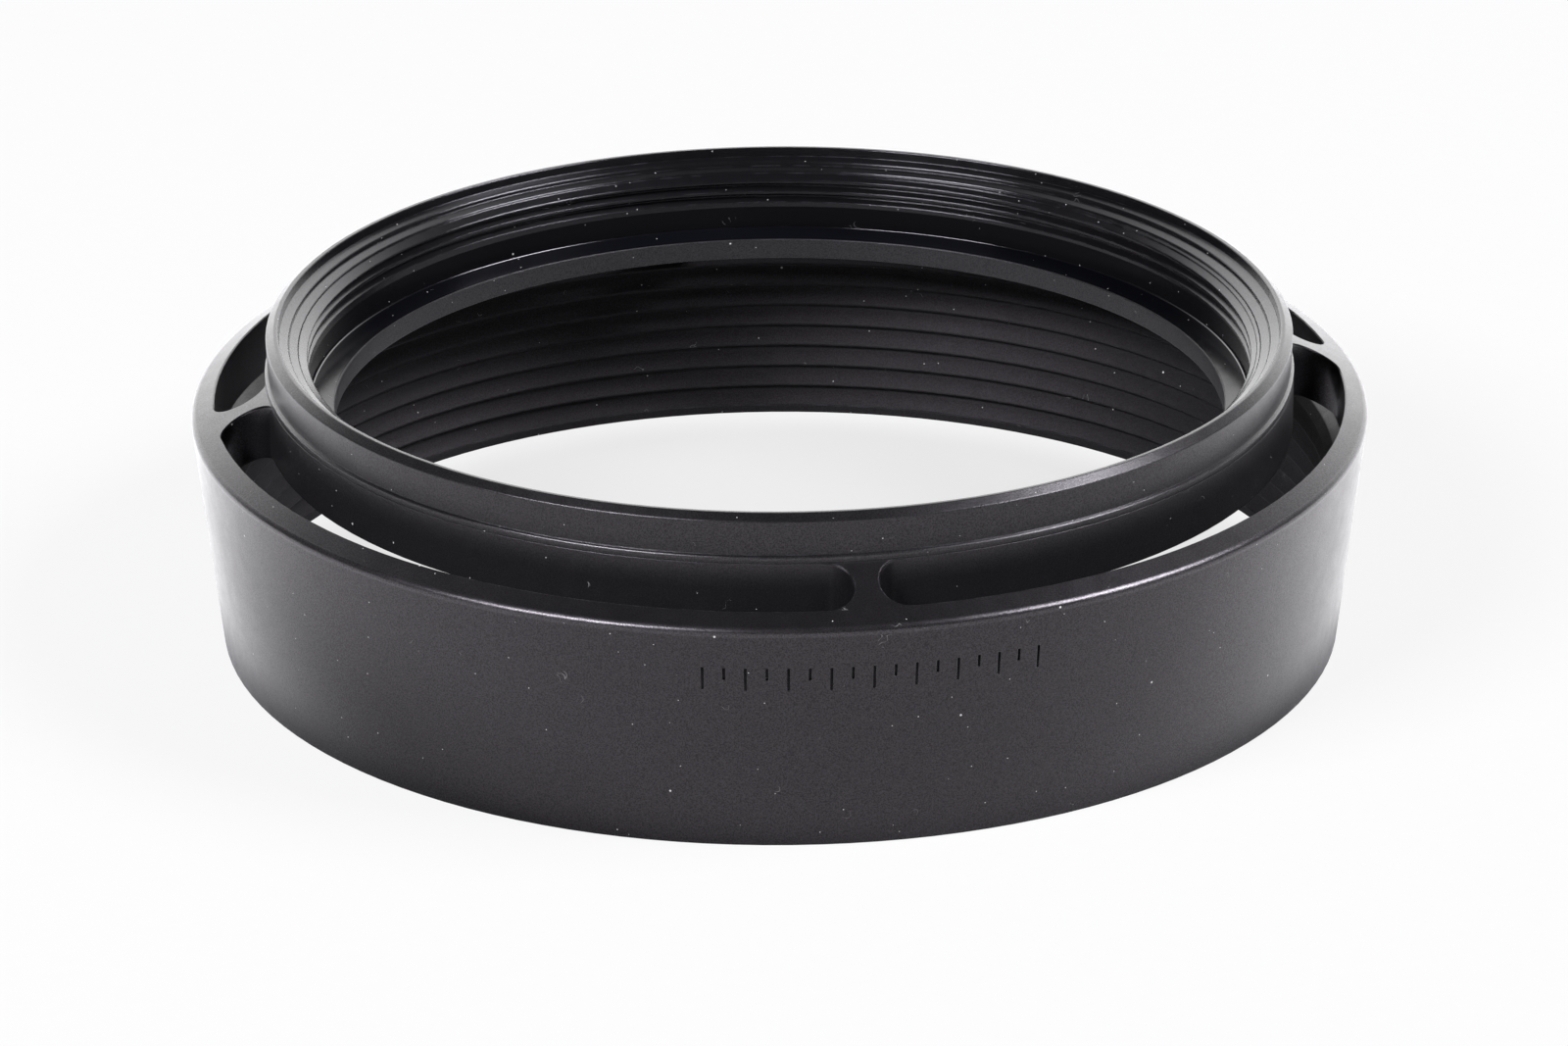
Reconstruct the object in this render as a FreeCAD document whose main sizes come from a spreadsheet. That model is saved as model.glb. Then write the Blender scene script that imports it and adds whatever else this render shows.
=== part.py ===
"""Vented screw-on lens hood, standing on its front rim with the mount neck up.

Frame: millimetres, +Z up. The origin is the centre of the front rim's plane, and +Z runs towards
the lens. The four spokes lie on the X and Y axes, and the index scale is engraved on the -Y side.

Three turned pieces:
  hood_shell   outer wall, ribbed inside, with the vented conical flange and the hub
  stop_ring    light stop, dropped into the hub from the lens side onto a ledge
  mount_ring   neck with the internal lens thread, pressed into the hub over the stop ring
"""
import FreeCAD, Part
import math
import os

import Sketcher

# ---------------------------------------------------------------- driving dimensions

DRIVING = {
    # outer wall and conical flange
    "front_radius": 35.33,
    "shoulder_radius": 37.0,
    "shoulder_height": 14.6,
    "shoulder_fillet": 0.42,
    "flange_slope": 0.5,
    "flange_depth": 3.43,
    # hub that takes the neck
    "hub_radius": 32.3,
    "hub_bore": 31.0,
    "ledge_bore": 30.2,
    "ledge_thick": 0.6,
    # vent slots and the spokes between them
    "slot_outer_radius": 35.53,
    "spoke_width": 1.6,
    "edge_break": 0.08,
    # ribbed light trap inside the outer wall
    "front_bore": 34.35,
    "rib_crest": 34.45,
    "rib_depth": 0.4,
    "rib_hollow": 0.08,
    "rib_pitch": 1.46,
    "rib_start": 0.44,
    "rib_land": 0.08,
    "rib_underside": 0.3,
    "recess_corner": 11.7,
    # index scale
    "scale_height": 11.35,
    "long_mark": 1.5,
    "short_mark": 0.8,
    "mark_width": 0.17,
    "mark_depth": 0.15,
    # neck
    "total_height": 20.0,
    "seat_height": 15.1,
    "rim_radius": 31.7,
    "rim_bore": 31.42,
    "bead_radius": 32.2,
    "bead_height": 19.6,
    "waist_radius": 32.12,
    "waist_height": 17.43,
    "lip_height": 17.35,
    # two sloping steps below the rim, then the thread's lead-in cone
    "upper_step_radius": 31.36,
    "upper_step_bore": 30.8,
    "upper_step_height": 19.42,
    "lower_step_radius": 30.74,
    "lower_step_bore": 30.2,
    "lower_step_height": 18.98,
    "step_slope": 0.32,
    "lead_radius": 30.16,
    "lead_top": 18.66,
    "lead_bottom": 18.35,
    # lens thread, M60 x 0.75
    "thread_radius": 30.0,
    "thread_minor": 29.59,
    "thread_pitch": 0.75,
    "thread_bottom": 16.6,
    # stop ring
    "stop_bore": 28.0,
    "stop_dish": 0.3,
    "stop_bottom": 13.5,
    "slip_gap": 0.02,
}

SHEET = "Dims"
FULL_TURN = 360.0
SPOKE_COUNT = 4
RIB_COUNT = 7
MARK_STEP = 4.0             # degrees between two marks of the same length
LONG_MARKS = 9
SHORT_MARKS = 8
THREAD_HALF_ANGLE = 30.0    # degrees between a thread flank and the radius
THREAD_ROOT_FLAT = 0.125    # flat at the groove's root, as a share of the pitch
THREAD_OVERCUT = 0.1        # how far the groove's section reaches into the bore
THREAD_TURNS_CLEAR = 0.5    # turns of the thread's helix above the lead-in cone
TOOL_CLEARANCE = 1.0        # how far cutting profiles reach out of the material
TOLERANCE = 1e-3


class Size:
    """A length that knows its value in mm and the sheet expression behind it."""

    def __init__(self, value, text):
        self.value = value
        self.text = text

    def combined(self, sign, other, result):
        other_text = other.text if isinstance(other, Size) else str(other)
        return Size(result, f"({self.text} {sign} {other_text})")

    def __add__(self, other):
        return self.combined("+", other, self.value + number(other))

    def __sub__(self, other):
        return self.combined("-", other, self.value - number(other))

    def __mul__(self, other):
        return self.combined("*", other, self.value * number(other))

    def __truediv__(self, other):
        return self.combined("/", other, self.value / number(other))

    def __neg__(self):
        return Size(-self.value, f"(0 - {self.text})")


def number(size):
    return size.value if isinstance(size, Size) else size


def dim(name):
    return Size(DRIVING[name], f"{SHEET}.{name}")


ZERO = Size(0.0, "0")


def fill_sheet(doc):
    sheet = doc.addObject("Spreadsheet::Sheet", SHEET)
    for row, (name, value) in enumerate(DRIVING.items(), start=1):
        sheet.set(f"A{row}", name)
        sheet.set(f"B{row}", str(value))
        sheet.setAlias(f"B{row}", name)
    doc.recompute()


# ---------------------------------------------------------------- document helpers

def origin_part(body, role):
    return next(item for item in body.Origin.OriginFeatures if item.Role == role)


def new_body(doc, name):
    body = doc.addObject("PartDesign::Body", name)
    body.Label = name
    return body


def new_sketch(body, name, plane):
    sketch = body.newObject("Sketcher::SketchObject", name)
    sketch.AttachmentSupport = [(origin_part(body, plane), "")]
    sketch.MapMode = "FlatFace"
    return sketch


def bind(sketch, kind, geometry, size):
    """Adds a dimension to the sketch and binds it to the size's expression."""
    index = sketch.addConstraint(Sketcher.Constraint(kind, *geometry, size.value))
    sketch.setExpression(f"Constraints[{index}]", size.text)


def pin(sketch, geometry, point, x, y):
    """Fixes one point of the sketch at x, y."""
    if x is ZERO:
        sketch.addConstraint(Sketcher.Constraint("PointOnObject", geometry, point, -2))
    else:
        bind(sketch, "DistanceX", (-1, 1, geometry, point), x)
    if y is ZERO:
        sketch.addConstraint(Sketcher.Constraint("PointOnObject", geometry, point, -1))
    else:
        bind(sketch, "DistanceY", (-1, 1, geometry, point), y)


def vector(x, y):
    return FreeCAD.Vector(x.value, y.value, 0)


def draw_outline(sketch, corners):
    """Straight sides round a list of (x, y) corners, closed, with every corner pinned."""
    count = len(corners)
    for index in range(count):
        following = (index + 1) % count
        side = Part.LineSegment(vector(*corners[index]), vector(*corners[following]))
        sketch.addGeometry(side, False)
    for index in range(count):
        sketch.addConstraint(Sketcher.Constraint("Coincident", index, 2, (index + 1) % count, 1))
        pin(sketch, index, 1, *corners[index])


def turn(doc, body, name, kind, sketch):
    """A full Revolution or Groove of the sketch about Z."""
    feature = body.newObject(kind, name)
    feature.Profile = sketch
    feature.ReferenceAxis = (sketch, ["V_Axis"])
    feature.Angle = FULL_TURN
    doc.recompute()
    return feature


def repeat(doc, body, name, kind, feature, axis, extent, count):
    """A LinearPattern or PolarPattern of the feature, made the body's tip."""
    pattern = body.newObject(kind, name)
    pattern.Originals = [feature]
    if kind == "PartDesign::PolarPattern":
        pattern.Axis = (origin_part(body, axis), [""])
        pattern.Angle = extent
    else:
        pattern.Direction = (origin_part(body, axis), [""])
        pattern.Length = extent.value
        pattern.setExpression("Length", extent.text)
    pattern.Occurrences = count
    body.Tip = pattern
    doc.recompute()
    return pattern


def must_remove(feature, base):
    """Stops the build when a cut leaves its base unchanged."""
    if feature.Shape.Volume > base.Shape.Volume - TOLERANCE:
        raise RuntimeError(f"{feature.Label} removes nothing")


def ring_edges(shape, rings):
    """Names of the circular edges about Z that match a (radius, height) pair of sizes."""
    names = []
    for index, edge in enumerate(shape.Edges, start=1):
        if not isinstance(edge.Curve, Part.Circle):
            continue
        radius = edge.Curve.Radius
        height = edge.Curve.Center.z
        for ring_radius, ring_height in rings:
            near_radius = abs(radius - ring_radius.value) < TOLERANCE
            near_height = abs(height - ring_height.value) < TOLERANCE
            if near_radius and near_height:
                names.append(f"Edge{index}")
    return names


def dress(doc, body, name, kind, base, edges, size):
    """A Fillet or Chamfer of the named edges of the base feature."""
    feature = body.newObject(kind, name)
    feature.Base = (base, edges)
    prop = "Radius" if kind == "PartDesign::Fillet" else "Size"
    setattr(feature, prop, size.value)
    feature.setExpression(prop, size.text)
    body.Tip = feature
    doc.recompute()
    return feature


# ---------------------------------------------------------------- hood_shell

def flange_top(radius):
    """Height of the flange's conical top at a radius."""
    return dim("shoulder_height") + dim("flange_slope") * (dim("shoulder_radius") - radius)


def flange_underside(radius):
    return flange_top(radius) - dim("flange_depth")


def wall_radius(height):
    """Outer radius of the tapered wall at a height."""
    taper = (dim("shoulder_radius") - dim("front_radius")) / dim("shoulder_height")
    return dim("front_radius") + taper * height


def shell_corners():
    hub = dim("hub_radius")
    hub_bottom = flange_underside(hub)
    ledge_top = hub_bottom + dim("ledge_thick")
    slot_edge = dim("slot_outer_radius")
    crest = dim("rib_crest")
    ribs_top = dim("rib_start") + dim("rib_pitch") * RIB_COUNT
    front_land = dim("rib_start") + dim("rib_land")
    return [
        (dim("front_radius"), ZERO),
        (dim("shoulder_radius"), dim("shoulder_height")),
        (hub, flange_top(hub)),
        (dim("hub_bore"), flange_top(hub)),
        (dim("hub_bore"), ledge_top),
        (dim("ledge_bore"), ledge_top),
        (dim("ledge_bore"), hub_bottom),
        (hub, hub_bottom),
        (slot_edge, flange_underside(slot_edge)),
        (slot_edge, dim("recess_corner")),
        (crest, ribs_top),
        (crest, front_land),
        (dim("front_bore"), front_land),
        (dim("front_bore"), ZERO),
    ]


def draw_rib_gap(sketch):
    """The hollow between two rib crests: a concave flank, then the next rib's steep underside."""
    crest = dim("rib_crest")
    root = crest + dim("rib_depth")
    clear = crest - TOOL_CLEARANCE
    low = dim("rib_start") + dim("rib_land")
    top = dim("rib_start") + dim("rib_pitch")
    root_height = top - dim("rib_underside")
    hollow = dim("rib_hollow")
    rise = root_height - low
    depth = dim("rib_depth")
    radius = (rise * rise + depth * depth) / (hollow * 8) + hollow / 2
    middle = vector((crest + root) / 2 + hollow, (low + root_height) / 2)

    sketch.addGeometry(Part.Arc(vector(crest, low), middle, vector(root, root_height)), False)
    path = [(root, root_height), (crest, top), (clear, top), (clear, low), (crest, low)]
    for start, end in zip(path, path[1:]):
        sketch.addGeometry(Part.LineSegment(vector(*start), vector(*end)), False)
    pin(sketch, 0, 1, crest, low)
    bind(sketch, "Radius", (0,), radius)
    for index, corner in enumerate(path[:-1], start=1):
        sketch.addConstraint(Sketcher.Constraint("Coincident", index - 1, 2, index, 1))
        pin(sketch, index, 1, *corner)
    sketch.addConstraint(Sketcher.Constraint("Coincident", len(path) - 1, 2, 0, 1))


def draw_slot(sketch):
    """One vent slot: two arcs about Z, joined by full-round ends, between the +X and +Y spokes."""
    inner = dim("hub_radius")
    outer = dim("slot_outer_radius")
    end_radius = (outer - inner) / 2
    middle = (outer + inner) / 2
    offset = dim("spoke_width") / 2 + end_radius
    near_x = math.asin(offset.value / middle.value)
    near_y = math.pi / 2 - near_x
    up = FreeCAD.Vector(0, 0, 1)
    centre = FreeCAD.Vector(0, 0, 0)

    def arc(middle_point, radius, start, end):
        sketch.addGeometry(Part.ArcOfCircle(Part.Circle(middle_point, up, radius), start, end), False)

    def on_middle(angle):
        return FreeCAD.Vector(middle.value * math.cos(angle), middle.value * math.sin(angle), 0)

    arc(centre, outer.value, near_x, near_y)
    arc(on_middle(near_y), end_radius.value, near_y, near_y + math.pi)
    arc(centre, inner.value, near_x, near_y)
    arc(on_middle(near_x), end_radius.value, near_x + math.pi, near_x + 2 * math.pi)
    outer_arc, end_at_y, inner_arc, end_at_x = range(4)
    joins = [
        (outer_arc, 2, end_at_y, 1),
        (end_at_y, 2, inner_arc, 2),
        (inner_arc, 1, end_at_x, 1),
        (end_at_x, 2, outer_arc, 1),
    ]
    for join in joins:
        sketch.addConstraint(Sketcher.Constraint("Tangent", *join))
    for index, radius in ((outer_arc, outer), (inner_arc, inner)):
        sketch.addConstraint(Sketcher.Constraint("Coincident", index, 3, -1, 1))
        bind(sketch, "Radius", (index,), radius)
    bind(sketch, "DistanceY", (-1, 1, end_at_x, 3), offset)
    bind(sketch, "DistanceX", (-1, 1, end_at_y, 3), offset)


def cut_ribs(doc, body, base):
    sketch = new_sketch(body, "rib_gap_outline", "XZ_Plane")
    draw_rib_gap(sketch)
    gap = turn(doc, body, "rib_gap", "PartDesign::Groove", sketch)
    must_remove(gap, base)
    extent = dim("rib_pitch") * (RIB_COUNT - 1)
    gaps = repeat(doc, body, "rib_gaps", "PartDesign::LinearPattern", gap, "Z_Axis", extent, RIB_COUNT)
    must_remove(gaps, gap)
    return gaps


def cut_slots(doc, body, base):
    sketch = new_sketch(body, "slot_outline", "XY_Plane")
    floor = flange_underside(dim("slot_outer_radius"))
    sketch.AttachmentOffset = FreeCAD.Placement(vector(ZERO, ZERO), FreeCAD.Rotation())
    sketch.setExpression("AttachmentOffset.Base.z", floor.text)
    draw_slot(sketch)
    slot = body.newObject("PartDesign::Pocket", "vent_slot")
    slot.Profile = sketch
    depth = dim("total_height") - floor
    slot.Length = depth.value
    slot.setExpression("Length", depth.text)
    slot.Reversed = True
    doc.recompute()
    must_remove(slot, base)
    slots = repeat(doc, body, "vent_slots", "PartDesign::PolarPattern", slot, "Z_Axis",
                   FULL_TURN, SPOKE_COUNT)
    must_remove(slots, slot)
    return slots


def slot_top_edges(shape):
    """Names of the edges where the slots' walls meet the flange's conical top."""
    names = []
    for index, edge in enumerate(shape.Edges, start=1):
        middle = edge.valueAt((edge.FirstParameter + edge.LastParameter) / 2)
        radius = math.hypot(middle.x, middle.y)
        on_cone = abs(middle.z - flange_top(Size(radius, "")).value) < TOLERANCE
        inside = DRIVING["hub_radius"] + TOLERANCE < radius < DRIVING["slot_outer_radius"] + TOLERANCE
        if on_cone and inside:
            names.append(f"Edge{index}")
    return names


def cut_marks(doc, body, base, name, length, count):
    """Engraves a row of upright marks, centred on the -Y side."""
    first = -MARK_STEP * (count - 1) / 2
    plane_radius = dim("shoulder_radius") + TOOL_CLEARANCE
    sketch = new_sketch(body, f"{name}_outline", "XZ_Plane")
    swing = FreeCAD.Placement(vector(ZERO, ZERO), FreeCAD.Rotation(FreeCAD.Vector(0, 1, 0), first))
    step_out = FreeCAD.Placement(FreeCAD.Vector(0, 0, plane_radius.value), FreeCAD.Rotation())
    sketch.AttachmentOffset = swing * step_out
    half_width = dim("mark_width") / 2
    top = dim("scale_height") + dim("long_mark") / 2
    corners = [
        (-half_width, top - length),
        (half_width, top - length),
        (half_width, top),
        (-half_width, top),
    ]
    draw_outline(sketch, corners)
    mark = body.newObject("PartDesign::Pocket", name)
    mark.Profile = sketch
    reach = plane_radius - wall_radius(dim("scale_height")) + dim("mark_depth")
    mark.Length = reach.value
    mark.setExpression("Length", reach.text)
    doc.recompute()
    must_remove(mark, base)
    marks = repeat(doc, body, f"{name}s", "PartDesign::PolarPattern", mark, "Z_Axis",
                   MARK_STEP * (count - 1), count)
    must_remove(marks, mark)
    return marks


def hood_shell(doc):
    body = new_body(doc, "hood_shell")
    outline = new_sketch(body, "shell_outline", "XZ_Plane")
    draw_outline(outline, shell_corners())
    blank = turn(doc, body, "shell_blank", "PartDesign::Revolution", outline)
    ribbed = cut_ribs(doc, body, blank)
    slotted = cut_slots(doc, body, ribbed)
    edges = slot_top_edges(slotted.Shape)
    broken = dress(doc, body, "slot_edge_break", "PartDesign::Chamfer", slotted, edges,
                   dim("edge_break"))
    shoulder = [(dim("shoulder_radius"), dim("shoulder_height"))]
    rounded = dress(doc, body, "shoulder_round", "PartDesign::Fillet", broken,
                    ring_edges(broken.Shape, shoulder), dim("shoulder_fillet"))
    long_marks = cut_marks(doc, body, rounded, "long_mark", dim("long_mark"), LONG_MARKS)
    cut_marks(doc, body, long_marks, "short_mark", dim("short_mark"), SHORT_MARKS)
    return body


# ---------------------------------------------------------------- stop_ring

def stop_ring(doc):
    """The ring's top is the dished shoulder that the lens barrel stops against."""
    body = new_body(doc, "stop_ring")
    seat = dim("seat_height")
    ledge_top = flange_underside(dim("hub_radius")) + dim("ledge_thick")
    outer = dim("hub_bore") - dim("slip_gap")
    spigot = dim("ledge_bore") - dim("slip_gap")
    corners = [
        (outer, seat),
        (dim("thread_minor"), seat),
        (dim("stop_bore"), seat - dim("stop_dish")),
        (dim("stop_bore"), dim("stop_bottom")),
        (spigot, dim("stop_bottom")),
        (spigot, ledge_top),
        (outer, ledge_top),
    ]
    sketch = new_sketch(body, "stop_outline", "XZ_Plane")
    draw_outline(sketch, corners)
    turn(doc, body, "stop_turned", "PartDesign::Revolution", sketch)
    return body


# ---------------------------------------------------------------- mount_ring

def draw_thread_section(sketch):
    """Section of the 60 degree groove, on the -Y side, reaching a little into the bore."""
    flank = math.tan(math.radians(THREAD_HALF_ANGLE))
    root_half = dim("thread_pitch") * THREAD_ROOT_FLAT / 2
    reach = dim("thread_radius") - dim("thread_minor") + THREAD_OVERCUT
    mouth_half = root_half + reach * flank
    height = dim("lead_top") + dim("thread_pitch") * THREAD_TURNS_CLEAR
    root = -dim("thread_radius")
    mouth = root + reach
    corners = [
        (root, height - root_half),
        (mouth, height - mouth_half),
        (mouth, height + mouth_half),
        (root, height + root_half),
    ]
    draw_outline(sketch, corners)
    return height


def cut_thread(doc, body, base):
    sketch = new_sketch(body, "thread_section", "YZ_Plane")
    start = draw_thread_section(sketch)
    thread = body.newObject("PartDesign::SubtractiveHelix", "lens_thread")
    thread.Profile = sketch
    thread.ReferenceAxis = (sketch, ["V_Axis"])
    thread.Mode = "pitch-height-angle"
    thread.Pitch = DRIVING["thread_pitch"]
    thread.setExpression("Pitch", dim("thread_pitch").text)
    drop = start - dim("thread_bottom")
    thread.Height = drop.value
    thread.setExpression("Height", drop.text)
    thread.Angle = 0
    thread.LeftHanded = False
    thread.Reversed = True
    doc.recompute()
    must_remove(thread, base)
    return thread


def step_ends(name):
    """The step's (radius, height) at its outer corner, and at its slightly lower inner edge."""
    radius = dim(f"{name}_radius")
    bore = dim(f"{name}_bore")
    height = dim(f"{name}_height")
    return (radius, height), (bore, height - dim("step_slope") * (radius - bore))


def mount_ring(doc):
    body = new_body(doc, "mount_ring")
    top = dim("total_height")
    minor = dim("thread_minor")
    hub_top = flange_top(dim("hub_radius"))
    lip = (dim("hub_radius"), dim("lip_height"))
    bead = (dim("bead_radius"), dim("bead_height"))
    rim = (dim("rim_radius"), top)
    rim_inner = (dim("rim_bore"), top)
    upper_corner, upper_edge = step_ends("upper_step")
    lower_corner, lower_edge = step_ends("lower_step")
    bore_top = (minor, dim("lead_bottom"))
    corners = [
        (dim("hub_bore"), dim("seat_height")),
        (dim("hub_bore"), hub_top),
        (dim("hub_radius"), hub_top),
        lip,
        (dim("waist_radius"), dim("waist_height")),
        bead,
        rim,
        rim_inner,
        upper_corner,
        upper_edge,
        lower_corner,
        lower_edge,
        (dim("lead_radius"), dim("lead_top")),
        bore_top,
        (minor, dim("seat_height")),
    ]
    sketch = new_sketch(body, "mount_outline", "XZ_Plane")
    draw_outline(sketch, corners)
    blank = turn(doc, body, "mount_turned", "PartDesign::Revolution", sketch)
    sharp = [lip, bead, rim, rim_inner, upper_edge, lower_edge, bore_top]
    rounded = dress(doc, body, "rim_edge_break", "PartDesign::Fillet", blank,
                    ring_edges(blank.Shape, sharp), dim("edge_break"))
    cut_thread(doc, body, rounded)
    return body


# ---------------------------------------------------------------- build and write

def check_document(doc, bodies):
    doc.recompute()
    for item in doc.Objects:
        if "Invalid" in item.State or "Error" in item.State:
            raise RuntimeError(f"{item.Label} failed: {item.State}")
    for body in bodies:
        if body.Shape.isNull() or not body.Shape.isValid():
            raise RuntimeError(f"{body.Label} has no valid shape")


def main():
    doc = FreeCAD.newDocument("lens_hood")
    fill_sheet(doc)
    bodies = [hood_shell(doc), stop_ring(doc), mount_ring(doc)]
    check_document(doc, bodies)
    os.makedirs("parts", exist_ok=True)
    for body in bodies:
        body.Shape.exportStep(f"parts/{body.Label}.step")
        print(f"{body.Label}: {len(body.Shape.Solids)} solid, {body.Shape.Volume:.1f} mm3")


main()
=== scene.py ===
import math

import bpy
from mathutils import Matrix, Vector

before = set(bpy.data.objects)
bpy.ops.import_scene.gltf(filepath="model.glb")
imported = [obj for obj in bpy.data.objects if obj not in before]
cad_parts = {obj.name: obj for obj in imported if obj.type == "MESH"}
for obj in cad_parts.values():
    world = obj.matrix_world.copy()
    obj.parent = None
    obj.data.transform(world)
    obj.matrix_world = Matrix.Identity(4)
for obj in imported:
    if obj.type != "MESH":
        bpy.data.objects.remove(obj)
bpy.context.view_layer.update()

MM = 0.001

# Places on the part where one surface meets the next, in millimetres.
FRONT_RADIUS = 35.33
SHOULDER_RADIUS = 37.0
SHOULDER_HEIGHT = 14.6
HUB_RADIUS = 32.4
RIBS_RADIUS = 35.0
RIBS_TOP = 11.9
SCALE_BAND = (9.0, 13.0)
SLOT_EDGE_TILT = (0.12, 0.874)   # upward part of the normal on the broken slot edges
LIP_BAND = (17.15, 17.45)
NECK_INSIDE_RADIUS = 31.6
THREAD_END = 16.56
STOP_BORE_RADIUS = 28.12
STOP_CORNER_START = 29.43
STOP_CORNER_RADIUS = 0.17
LATHE_SLANT = 1.37               # mixes height into radius, so rings show on flats and walls alike

# Colours shared by more than one look.
BLACK_DARK = (0.0024, 0.0023, 0.0026, 1.0)
BLACK_LIGHT = (0.0044, 0.0042, 0.0046, 1.0)
WORN_COLOUR = (0.05, 0.052, 0.058, 1.0)
DUST_COLOUR = (0.34, 0.34, 0.33, 1.0)
EDGE_ROUND = 0.10 * MM

# Camera, in the row frame.
CAMERA_AZIMUTH = math.radians(-8.75)
CAMERA_ELEVATION = math.radians(22.582)
CAMERA_ROLL = math.radians(-0.259)
CAMERA_DISTANCE = 538.2 * MM
CAMERA_AIM = (0.244 * MM, 2.186 * MM, 5.257 * MM)
CAMERA_LENS = 194.14
CAMERA_SENSOR = 36.0


def direction(azimuth, elevation):
    """Unit vector at an azimuth and an elevation in degrees, turned with the camera."""
    a = math.radians(azimuth) + CAMERA_AZIMUTH
    e = math.radians(elevation)
    return Vector((math.cos(a) * math.cos(e), math.sin(a) * math.cos(e), math.sin(e)))


def grey(level):
    return (level, level, level, 1.0)


class Graph:
    """Adds shader nodes to one node tree and joins them."""

    def __init__(self, tree):
        self.tree = tree
        tree.nodes.clear()

    def add(self, kind, inputs=None, **settings):
        node = self.tree.nodes.new(kind)
        for name, value in settings.items():
            setattr(node, name, value)
        for socket, value in (inputs or {}).items():
            if isinstance(value, bpy.types.NodeSocket):
                self.tree.links.new(value, node.inputs[socket])
            else:
                node.inputs[socket].default_value = value
        return node

    def math(self, operation, *values):
        return self.add("ShaderNodeMath", dict(enumerate(values)), operation=operation).outputs[0]

    def plus(self, a, b):
        return self.math("ADD", a, b)

    def minus(self, a, b):
        return self.math("SUBTRACT", a, b)

    def times(self, a, b):
        return self.math("MULTIPLY", a, b)

    def invert(self, a):
        return self.math("SUBTRACT", 1.0, a)

    def ramp(self, value, start, end, low=0.0, high=1.0):
        """Smooth step of value from low at start to high at end."""
        inputs = {"Value": value, "From Min": start, "From Max": end, "To Min": low, "To Max": high}
        return self.add("ShaderNodeMapRange", inputs, interpolation_type="SMOOTHSTEP").outputs[0]

    def band(self, value, start, end, soft):
        """1 between start and end, 0 outside, with soft edges."""
        rise = self.ramp(value, start - soft, start + soft)
        fall = self.ramp(value, end - soft, end + soft, 1.0, 0.0)
        return self.times(rise, fall)

    def noise(self, vector, scale, detail=2.0, roughness=0.5, w=None):
        """Noise over a vector or, where w is given, over that one number."""
        inputs = {"Scale": scale, "Detail": detail, "Roughness": roughness}
        if w is None:
            dimensions = "3D"
            inputs["Vector"] = vector
        else:
            dimensions = "1D"
            inputs["W"] = w
        return self.add("ShaderNodeTexNoise", inputs, noise_dimensions=dimensions).outputs[0]

    def mix(self, factor, a, b):
        """Number between a and b."""
        return self.add("ShaderNodeMix", {0: factor, 2: a, 3: b}, data_type="FLOAT").outputs[0]

    def tint(self, factor, a, b):
        """Colour between a and b."""
        return self.add("ShaderNodeMix", {0: factor, 6: a, 7: b}, data_type="RGBA").outputs[2]


def place(graph):
    """Position in millimetres on the part, with its distance from the axis and its height."""
    where = graph.add("ShaderNodeTexCoord").outputs["Object"]
    mm = graph.add("ShaderNodeVectorMath", {0: where, "Scale": 1 / MM}, operation="SCALE").outputs[0]
    parts = graph.add("ShaderNodeSeparateXYZ", {0: mm})
    x, y, z = parts.outputs[0], parts.outputs[1], parts.outputs[2]
    flat = graph.math("SQRT", graph.plus(graph.times(x, x), graph.times(y, y)))
    return mm, flat, z


def dust(graph, mm, cell, radius, seed, share):
    """1 on small specks of dust that lie on the surface."""
    offset = (seed, 2 * seed, 3 * seed)
    moved = graph.add("ShaderNodeVectorMath", {0: mm, 1: offset}, operation="ADD").outputs[0]
    spots = graph.add("ShaderNodeTexVoronoi", {"Vector": moved, "Scale": 1 / cell, "Randomness": 1.0})
    close = graph.ramp(spots.outputs["Distance"], radius / cell, 0.6 * radius / cell)
    pick = graph.add("ShaderNodeSeparateXYZ", {0: spots.outputs["Color"]}).outputs[0]
    return graph.times(close, graph.math("LESS_THAN", pick, share))


def lint(graph, mm):
    """1 on a few short curled fibres."""
    curl = graph.noise(mm, 1.9, 0.0)
    thread = graph.ramp(graph.math("ABSOLUTE", graph.minus(curl, 0.5)), 0.010, 0.003)
    where = graph.ramp(graph.noise(mm, 0.8, 0.0), 0.80, 0.82)
    return graph.times(thread, where)


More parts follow.
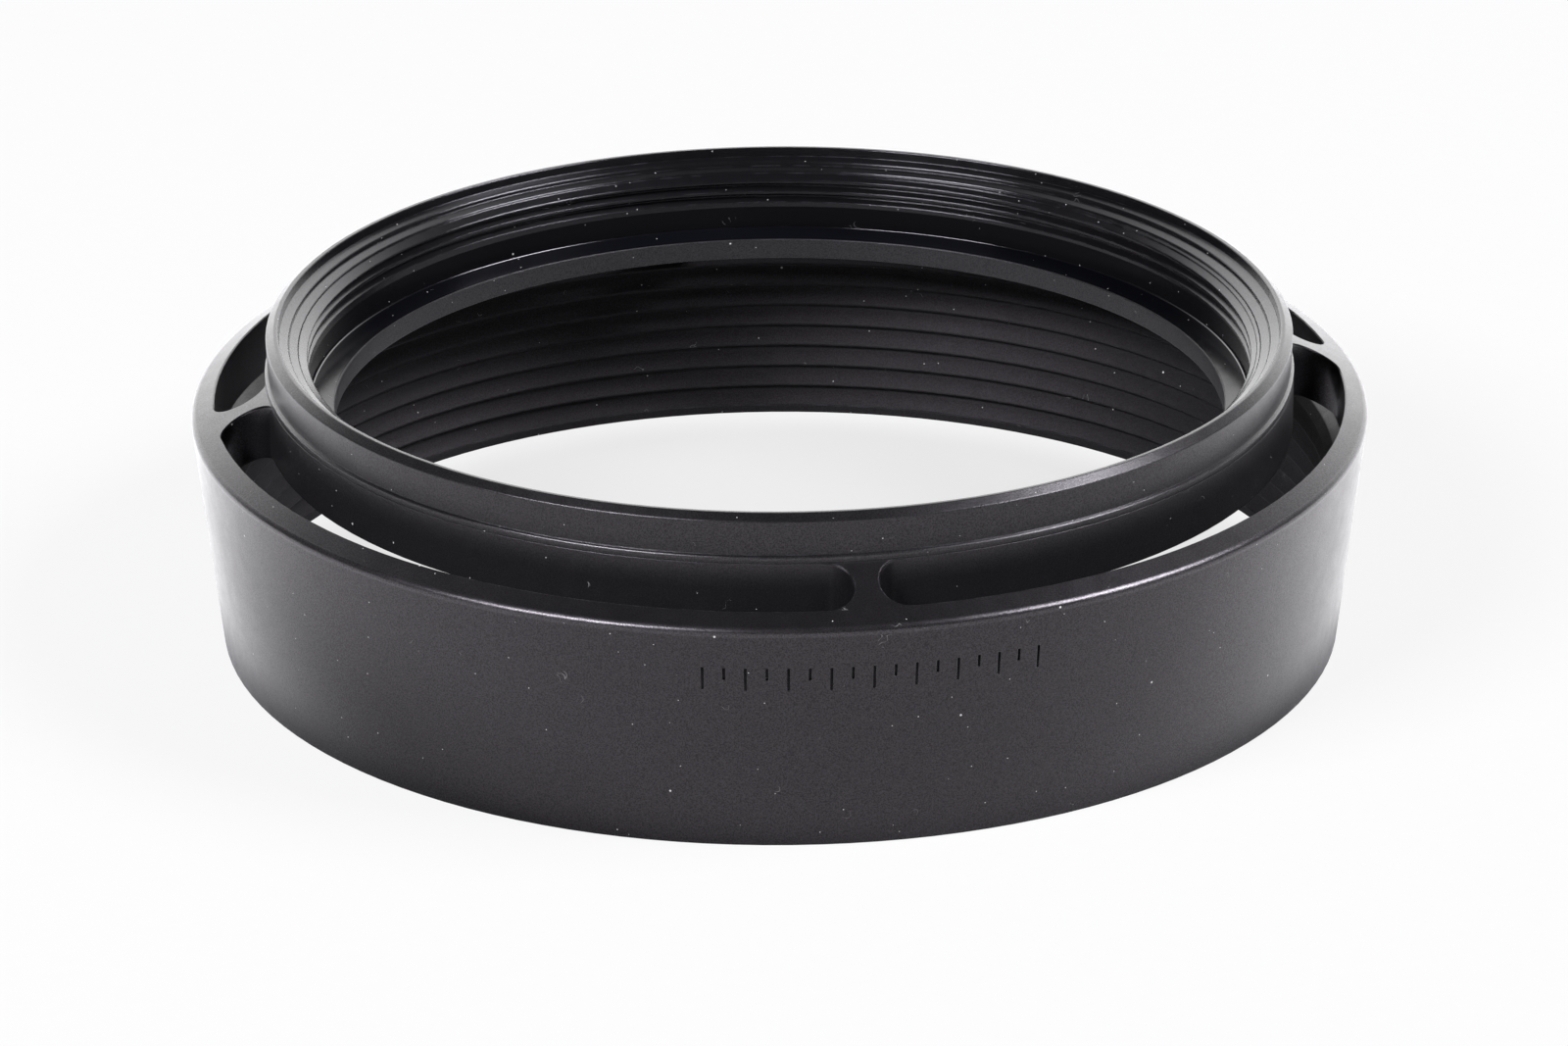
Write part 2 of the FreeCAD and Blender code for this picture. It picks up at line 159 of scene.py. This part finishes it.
def anodised(name, look):
    """Black anodised aluminium. look(graph, mm, r, z) gives the values that differ from piece to piece."""
    material = bpy.data.materials.new(name)
    material.use_nodes = True
    graph = Graph(material.node_tree)
    mm, r, z = place(graph)
    part = look(graph, mm, r, z)

    # Slow change over the surface, then fine grain.
    cloud = graph.noise(mm, 0.11, 3.0)
    mottle = graph.noise(mm, 0.9, 3.0)
    grain = graph.noise(mm, 5.2, 2.0, 0.55)
    fine = graph.noise(mm, 12.0, 1.0, 0.5)

    small_specks = dust(graph, mm, cell=0.95, radius=0.045, seed=3.1, share=0.7)
    large_specks = dust(graph, mm, cell=2.1, radius=0.085, seed=7.7, share=0.3)
    specks = graph.math("MAXIMUM", small_specks, large_specks)
    hairs = graph.times(lint(graph, mm), 0.35)
    dirt = graph.math("MAXIMUM", specks, hairs)

    # Edges where the colour has rubbed thin.
    bevel = graph.add("ShaderNodeBevel", {"Radius": EDGE_ROUND}, samples=4).outputs[0]
    normal = graph.add("ShaderNodeNewGeometry").outputs["Normal"]
    aligned = graph.add("ShaderNodeVectorMath", {0: bevel, 1: normal}, operation="DOT_PRODUCT").outputs["Value"]
    edge = graph.ramp(aligned, 0.995, 0.90)
    rubbed = graph.times(edge, graph.ramp(mottle, 0.42, 0.68))

    black = graph.tint(cloud, part["dark"], part["light"])
    black = graph.tint(graph.times(grain, 0.5), black, part["light"])
    worn = graph.tint(graph.times(rubbed, 0.35), black, WORN_COLOUR)
    colour = graph.tint(dirt, worn, DUST_COLOUR)

    rough = graph.plus(part["rough"], graph.times(graph.minus(mottle, 0.5), 0.10))
    rough = graph.plus(rough, graph.times(graph.minus(cloud, 0.5), 0.08))
    rough = graph.mix(dirt, rough, 0.95)

    # Each blasted pit catches the light a little differently.
    swing = graph.times(graph.ramp(fine, 0.30, 0.70, -1.0, 1.0), part["speckle"])
    shine = graph.times(part["shine"], graph.plus(1.0, swing))

    # Relief in millimetres: blasted grain, lathe lines, and the dust standing on top.
    height = graph.times(graph.plus(grain, graph.times(fine, 0.5)), part["grain"])
    height = graph.plus(height, part["lathe"])
    height = graph.plus(height, graph.times(dirt, 0.012))
    relief = {"Height": height, "Strength": 1.0, "Distance": MM, "Normal": bevel}
    bump = graph.add("ShaderNodeBump", relief).outputs[0]
    tangent = graph.add("ShaderNodeTangent", direction_type="RADIAL", axis="Z").outputs[0]

    shader = graph.add("ShaderNodeBsdfPrincipled", {
        "Base Color": colour,
        "Roughness": rough,
        "IOR": 1.5,
        "Specular IOR Level": shine,
        "Specular Tint": part["sheen_tint"],
        "Anisotropic": part["streak"],
        "Anisotropic Rotation": 0.25,
        "Tangent": tangent,
        "Normal": bump,
    })
    graph.add("ShaderNodeOutputMaterial", {"Surface": shader.outputs[0]})
    return material


def lathe_lines(graph, mm, r, z, step, depth):
    """Fine rings left by turning, along the profile, with a slow wander."""
    along = graph.plus(r, graph.times(z, LATHE_SLANT))
    wander = graph.times(graph.noise(mm, 0.15, 1.0), 0.06)
    lines = graph.noise(None, 1.0 / step, 2.0, 0.6, w=graph.plus(along, wander))
    return graph.times(lines, depth)


def shell_look(graph, mm, r, z):
    """Satin outside, matte ribs, and a dull engraved scale."""
    inside = graph.times(
        graph.ramp(r, RIBS_RADIUS, RIBS_RADIUS - 0.1),
        graph.ramp(z, RIBS_TOP, RIBS_TOP - 0.1),
    )

    # The scale is where the surface lies below the outer wall's cone.
    slope = (SHOULDER_RADIUS - FRONT_RADIUS) / SHOULDER_HEIGHT
    wall = graph.plus(FRONT_RADIUS, graph.times(z, slope))
    cut = graph.ramp(graph.minus(wall, r), 0.03, 0.06)
    outer = graph.times(graph.band(z, *SCALE_BAND, 0.05), graph.ramp(r, 36.0, 36.05))
    marks = graph.times(cut, outer)

    from_corner = graph.plus(
        graph.math("ABSOLUTE", graph.minus(r, SHOULDER_RADIUS)),
        graph.math("ABSOLUTE", graph.minus(z, SHOULDER_HEIGHT)),
    )
    shoulder = graph.ramp(from_corner, 0.55, 0.40)

    true_normal = graph.add("ShaderNodeNewGeometry").outputs["True Normal"]
    tilt = graph.add("ShaderNodeSeparateXYZ", {0: true_normal}).outputs[2]
    on_flange = graph.times(graph.ramp(r, 36.3, 36.2), graph.ramp(z, 14.8, 14.9))
    slot_edge = graph.times(graph.band(tilt, *SLOT_EDGE_TILT, 0.008), on_flange)

    shine = graph.mix(inside, 0.34, 0.17)
    shine = graph.mix(shoulder, shine, 0.50)
    shine = graph.mix(slot_edge, shine, 0.05)

    # Painted light: the hub wall inside 32.4 mm, seen through the slots, gets a lighter colour that stands in for
    # the light reaching it there.
    hub_painted_light = graph.ramp(r, HUB_RADIUS + 0.05, HUB_RADIUS - 0.05)
    dark = graph.tint(inside, BLACK_DARK, (0.0030, 0.0029, 0.0031, 1.0))
    light = graph.tint(inside, BLACK_LIGHT, (0.0052, 0.0051, 0.0053, 1.0))
    return {
        "dark": graph.tint(hub_painted_light, dark, (0.0048, 0.0047, 0.0050, 1.0)),
        "light": graph.tint(hub_painted_light, light, (0.0075, 0.0073, 0.0078, 1.0)),
        "rough": graph.mix(inside, 0.31, 0.65),
        "grain": graph.mix(inside, 0.0042, 0.0035),
        "lathe": lathe_lines(graph, mm, r, z, 0.11, 0.0006),
        "shine": graph.mix(marks, shine, 0.08),
        "sheen_tint": (0.98, 0.92, 0.98, 1.0),
        "streak": 0.25,
        "speckle": 0.35,
    }


def mount_look(graph, mm, r, z):
    """Satin outside with a brighter lip, and a glossy, slightly blue thread."""
    inside = graph.ramp(r, NECK_INSIDE_RADIUS, NECK_INSIDE_RADIUS - 0.15)
    plain = graph.times(graph.ramp(r, 29.66, 29.62), graph.ramp(z, THREAD_END, THREAD_END - 0.06))
    lip = graph.times(graph.ramp(r, 32.18, 32.22), graph.band(z, *LIP_BAND, 0.03))
    inner_shine = graph.mix(plain, 0.36, 0.02)
    outer_shine = graph.mix(lip, 0.34, 0.50)
    return {
        "dark": graph.tint(inside, BLACK_DARK, (0.0020, 0.0019, 0.0022, 1.0)),
        "light": graph.tint(inside, BLACK_LIGHT, (0.0034, 0.0033, 0.0038, 1.0)),
        "rough": graph.mix(inside, 0.30, 0.22),
        "grain": graph.mix(inside, 0.0026, 0.0003),
        "lathe": lathe_lines(graph, mm, r, z, 0.07, 0.0004),
        "shine": graph.mix(inside, outer_shine, inner_shine),
        "sheen_tint": graph.tint(inside, (0.98, 0.94, 0.98, 1.0), (0.95, 0.94, 1.0, 1.0)),
        "streak": graph.mix(inside, 0.30, 0.6),
        "speckle": graph.mix(inside, 0.35, 0.15),
    }


def stop_look(graph, mm, r, z):
    """Matte bore, and a glossy dished top that runs up into the wall in a small round."""
    bore = graph.ramp(r, STOP_BORE_RADIUS, STOP_BORE_RADIUS - 0.06)
    reach = graph.math("DIVIDE", graph.minus(r, STOP_CORNER_START), STOP_CORNER_RADIUS)
    reach = graph.math("MINIMUM", graph.math("MAXIMUM", reach, 0.0), 0.95)
    drop = graph.math("SQRT", graph.invert(graph.times(reach, reach)))
    corner = graph.times(STOP_CORNER_RADIUS, graph.invert(drop))
    in_corner = graph.ramp(r, STOP_CORNER_START - 0.03, STOP_CORNER_START + 0.03)
    return {
        "dark": graph.tint(bore, (0.0012, 0.0013, 0.0018, 1.0), (0.0045, 0.0045, 0.0048, 1.0)),
        "light": graph.tint(bore, (0.0022, 0.0024, 0.0032, 1.0), (0.0080, 0.0080, 0.0084, 1.0)),
        "rough": graph.mix(bore, 0.16, 0.42),
        "grain": graph.mix(bore, 0.0003, 0.0036),
        "lathe": graph.plus(corner, lathe_lines(graph, mm, r, z, 0.07, 0.0004)),
        "shine": graph.mix(bore, graph.mix(in_corner, 0.10, 0.55), 0.36),
        "sheen_tint": (0.98, 0.95, 1.0, 1.0),
        "streak": graph.mix(bore, 0.7, 0.2),
        "speckle": graph.mix(bore, 0.1, 0.35),
    }


LOOKS = {"hood_shell": shell_look, "mount_ring": mount_look, "stop_ring": stop_look}
for node_name, look in LOOKS.items():
    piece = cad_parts[node_name]
    piece.data.materials.clear()
    piece.data.materials.append(anodised("anodised_" + node_name, look))

# Floor: a large plain sheet.
FLOOR_HALF = 4.0
FLOOR_GAP = 0.02 * MM
floor_mesh = bpy.data.meshes.new("floor")
corners = [
    (-FLOOR_HALF, -FLOOR_HALF, 0),
    (FLOOR_HALF, -FLOOR_HALF, 0),
    (FLOOR_HALF, FLOOR_HALF, 0),
    (-FLOOR_HALF, FLOOR_HALF, 0),
]
floor_mesh.from_pydata(corners, [], [(0, 1, 2, 3)])
floor = bpy.data.objects.new("floor", floor_mesh)
floor.location.z = -FLOOR_GAP
bpy.context.scene.collection.objects.link(floor)

paper = bpy.data.materials.new("paper")
paper.use_nodes = True
graph = Graph(paper.node_tree)
# The floor that lights the object and the floor the camera sees are set apart.
back = direction(90, 0)
incoming = graph.add("ShaderNodeNewGeometry").outputs["Incoming"]
away = graph.add("ShaderNodeVectorMath", {0: incoming, 1: tuple(-back)}, operation="DOT_PRODUCT").outputs["Value"]
ray = graph.add("ShaderNodeLightPath")
coords = graph.add("ShaderNodeTexCoord").outputs["Object"]
reach = graph.add("ShaderNodeVectorMath", {0: coords}, operation="LENGTH").outputs["Value"]
# Painted light: for the object the floor glows, stronger where it is seen looking towards the back, and not at
# all inside the ring.
outside = graph.ramp(reach, 0.0352, 0.0385)
glow = graph.times(outside, graph.ramp(away, -0.05, 1.05, 0.4, 1.7))
fibre = graph.noise(coords, 900.0, 3.0)
shade = graph.tint(fibre, grey(0.49), grey(0.53))
seen_shade = graph.tint(fibre, grey(0.043), grey(0.047))
camera_ray = ray.outputs["Is Camera Ray"]
shade = graph.tint(camera_ray, shade, seen_shade)
# Painted shade: the floor the camera sees is darker inside the ring.
seen_glow_and_ring_shade = graph.ramp(reach, 0.030, 0.036, 0.715, 0.845)
glow = graph.mix(camera_ray, glow, seen_glow_and_ring_shade)
diffuse = graph.add("ShaderNodeBsdfDiffuse", {"Color": shade, "Roughness": 0.9}).outputs[0]
emit = graph.add("ShaderNodeEmission", {"Color": grey(1.0), "Strength": glow}).outputs[0]
both = graph.add("ShaderNodeAddShader", {0: diffuse, 1: emit}).outputs[0]
graph.add("ShaderNodeOutputMaterial", {"Surface": both})
floor_mesh.materials.append(paper)

# Studio: bright low surroundings, brightest behind the object, dark overhead.
world = bpy.data.worlds.new("studio")
bpy.context.scene.world = world
world.use_nodes = True
graph = Graph(world.node_tree)
view = graph.add("ShaderNodeTexCoord").outputs["Generated"]
unit = graph.add("ShaderNodeVectorMath", {0: view}, operation="NORMALIZE").outputs[0]
height = graph.add("ShaderNodeSeparateXYZ", {0: unit}).outputs[2]
degrees = graph.times(graph.math("ARCSINE", height), 180 / math.pi)
towards = graph.add("ShaderNodeVectorMath", {0: unit, 1: tuple(back)}, operation="DOT_PRODUCT").outputs["Value"]
level = graph.times(graph.ramp(towards, 0.45, 0.85, 0.12, 3.2), graph.ramp(degrees, 16.0, 68.0, 1.0, 0.0))
ray = graph.add("ShaderNodeLightPath")
seen = graph.mix(ray.outputs["Is Camera Ray"], level, 0.99)
sky = graph.add("ShaderNodeBackground", {"Color": grey(1.0), "Strength": seen})
graph.add("ShaderNodeOutputWorld", {"Surface": sky.outputs[0]})

LIGHTS = (
    # name, azimuth, elevation, width and height in metres, watts
    ("softbox_left", -133.5, 37.7, 0.32, 0.17, 8.6),
    ("softbox_right", -10.5, 46.0, 0.34, 0.20, 9.6),
)
LIGHT_DISTANCE = 0.65
LIGHT_COLOUR = (0.95, 0.94, 1.0)
for name, azimuth, elevation, width, height, watts in LIGHTS:
    lamp = bpy.data.lights.new(name, "AREA")
    lamp.shape = "RECTANGLE"
    lamp.size = width
    lamp.size_y = height
    lamp.energy = watts
    lamp.color = LIGHT_COLOUR
    holder = bpy.data.objects.new(name, lamp)
    towards_lamp = direction(azimuth, elevation)
    holder.location = towards_lamp * LIGHT_DISTANCE
    holder.rotation_euler = towards_lamp.to_track_quat("Z", "Y").to_euler()
    bpy.context.scene.collection.objects.link(holder)

camera_data = bpy.data.cameras.new("camera")
camera_data.lens = CAMERA_LENS
camera_data.sensor_width = CAMERA_SENSOR
camera_data.clip_start = 0.01
camera_data.clip_end = 50.0
camera = bpy.data.objects.new("camera", camera_data)
bpy.context.scene.collection.objects.link(camera)
to_camera = Vector((
    math.sin(CAMERA_AZIMUTH) * math.cos(CAMERA_ELEVATION),
    -math.cos(CAMERA_AZIMUTH) * math.cos(CAMERA_ELEVATION),
    math.sin(CAMERA_ELEVATION),
))
aim = Matrix.Rotation(CAMERA_AZIMUTH, 4, "Z") @ Vector(CAMERA_AIM)
look_at = to_camera.to_track_quat("Z", "Y").to_matrix().to_4x4()
stand = Matrix.Translation(aim + to_camera * CAMERA_DISTANCE)
camera.matrix_world = stand @ look_at @ Matrix.Rotation(CAMERA_ROLL, 4, "Z")
bpy.context.scene.camera = camera
bpy.context.scene.view_settings.view_transform = "Standard"
